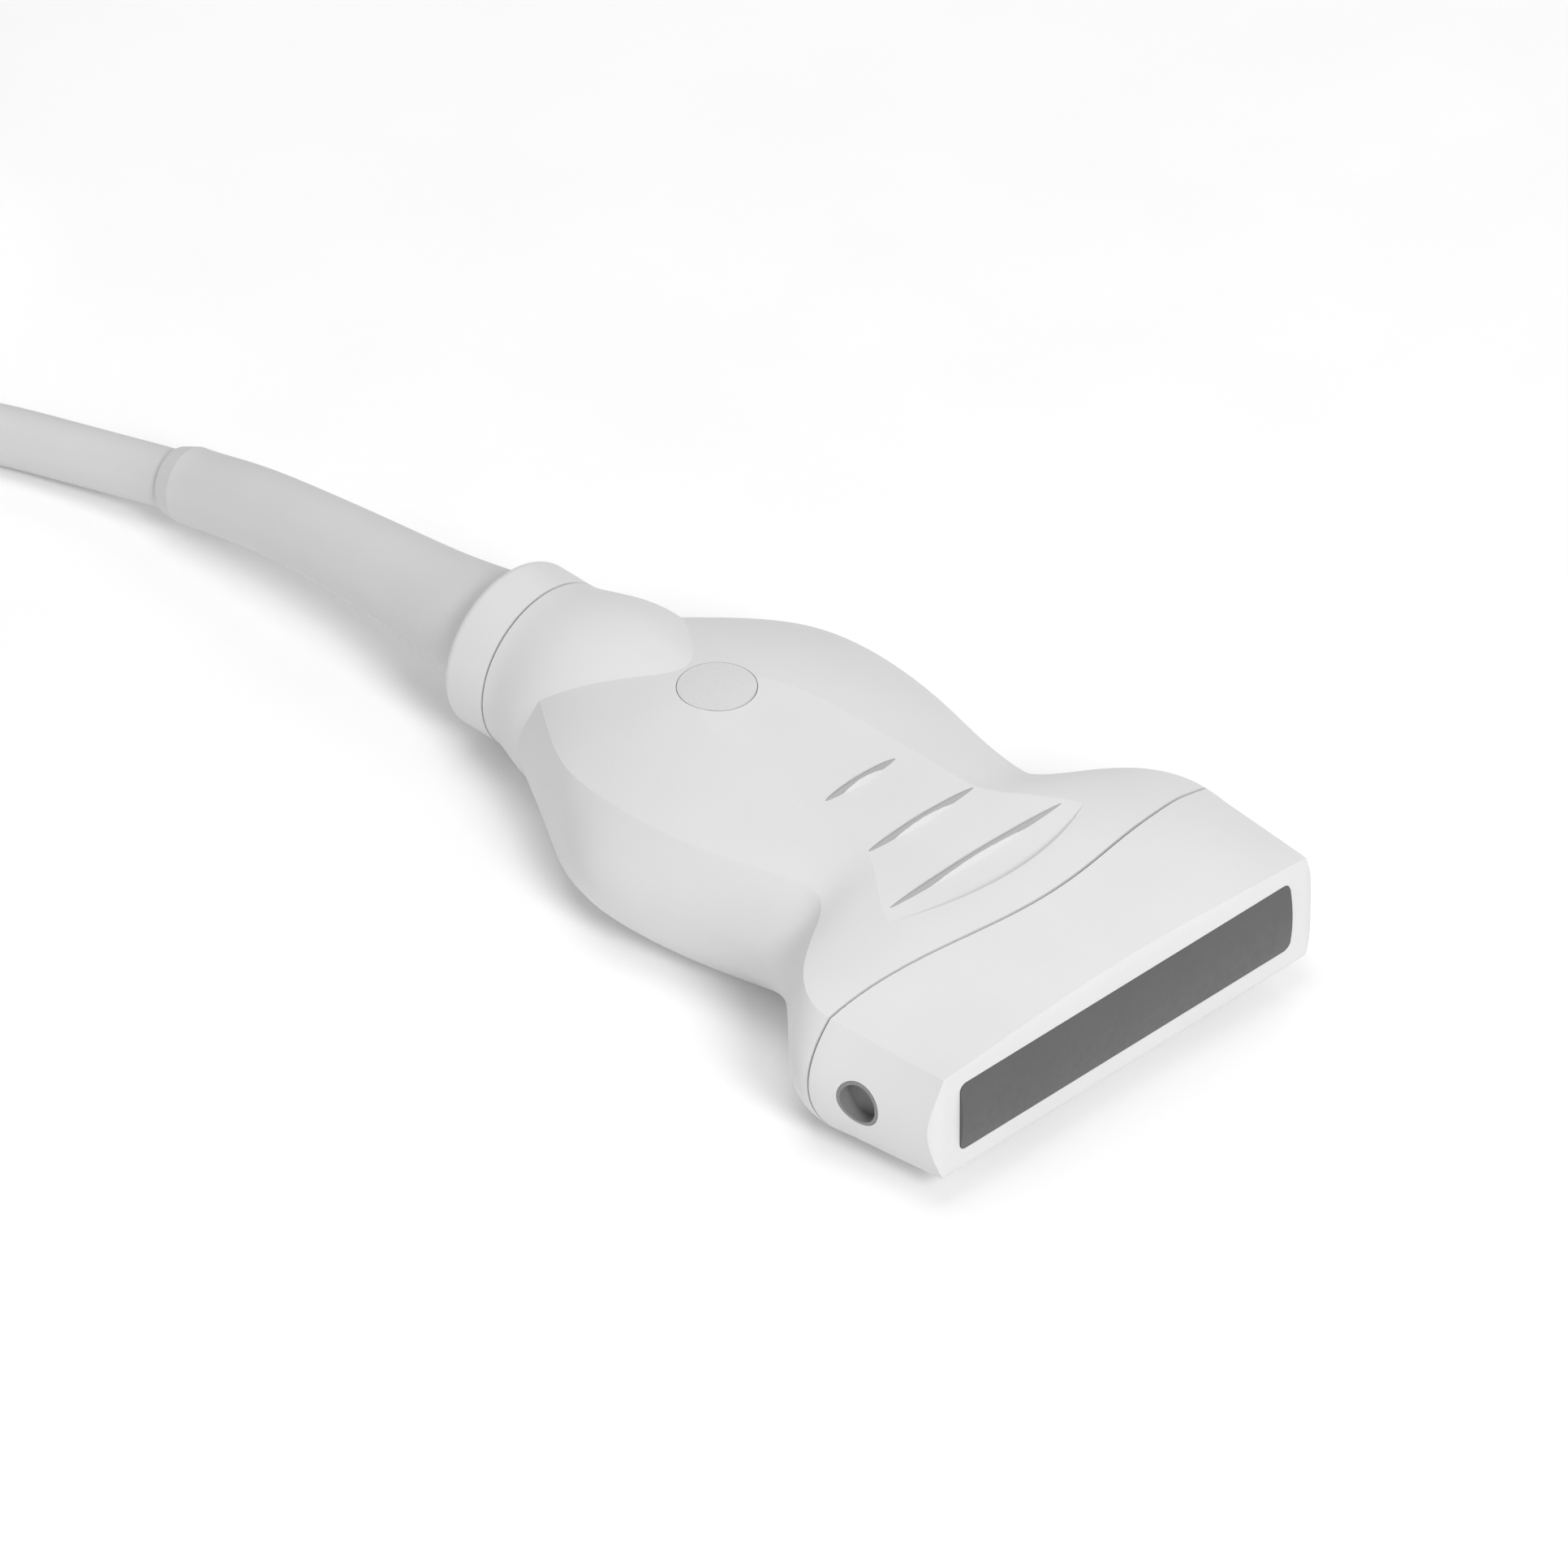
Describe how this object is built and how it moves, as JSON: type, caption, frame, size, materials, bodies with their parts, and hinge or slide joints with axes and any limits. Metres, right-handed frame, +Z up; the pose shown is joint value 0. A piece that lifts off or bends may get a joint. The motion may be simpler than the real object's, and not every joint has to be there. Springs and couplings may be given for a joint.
{
  "type": "ultrasound transducer probe",
  "caption": "Hand-held linear-array ultrasound probe: wide flat nose with a dark lens strip, waisted grip, round neck, strain relief and a coiled lead with a plug.",
  "frame": {"origin": "middle of the probe's box, lead apart, on the surface that it lies on", "axes": "+X along the lens strip, -Y out of the lens, +Y towards the lead, +Z up"},
  "size_m": [0.0849, 0.356, 0.0296],
  "materials": {
    "housing_plastic": "fine moulded texture, light grey",
    "lens_silicone": "smooth satin, dark grey",
    "locator_plastic": "matt dark grey",
    "seal_rubber": "matt mid grey",
    "inlay_plastic": "satin, blank",
    "matching_resin": "loaded epoxy",
    "piezo_ceramic": "diced ceramic",
    "foil_copper": "bare copper foil",
    "backing_resin": "tungsten-loaded resin",
    "spreader_aluminium": "milled",
    "frame_plastic": "black moulded",
    "flex_film": "amber film",
    "socket_plastic": "cream moulded",
    "board_laminate": "green lacquered laminate",
    "screw_steel": "plated steel",
    "coax_jacket": "bundle of fine coaxial wires",
    "ferrule_metal": "crimped metal",
    "boot_elastomer": "matt light grey",
    "lead_jacket": "matt light grey",
    "tie_fabric": "woven hook-and-loop strap",
    "plug_plastic": "fine moulded texture, light grey",
    "tongue_plastic": "black moulded",
    "contact_gold": "gold plated"
  },
  "bodies": {
    "root": {"nose_piece": "housing_plastic", "upper_shell": "housing_plastic", "lower_shell": "housing_plastic", "collar": "housing_plastic", "acoustic_lens": "lens_silicone", "locator_bush": "locator_plastic", "nose_seal": "seal_rubber", "inlay_disc": "inlay_plastic", "matching_layer_outer": "matching_resin", "matching_layer_inner": "matching_resin", "piezo_array": "piezo_ceramic", "ground_foil": "foil_copper", "backing_block": "backing_resin", "heat_spreader": "spreader_aluminium", "array_frame": "frame_plastic", "signal_flex_upper": "flex_film", "signal_flex_lower": "flex_film", "flex_socket_upper": "socket_plastic", "flex_socket_lower": "socket_plastic", "interconnect_board": "board_laminate", "plug_board": "board_laminate", "board_screws": "screw_steel", "plug_screws": "screw_steel", "coax_bundle": "coax_jacket", "crimp_ferrule": "ferrule_metal", "strain_relief_boot": "boot_elastomer", "plug_boot": "boot_elastomer", "cable_run": "lead_jacket", "cable_coil": "lead_jacket", "cable_tail": "lead_jacket", "coil_tie": "tie_fabric", "plug_upper_shell": "plug_plastic", "plug_lower_shell": "plug_plastic", "contact_tongue": "tongue_plastic", "contact_strips": "contact_gold"}
  },
  "joints": []
}
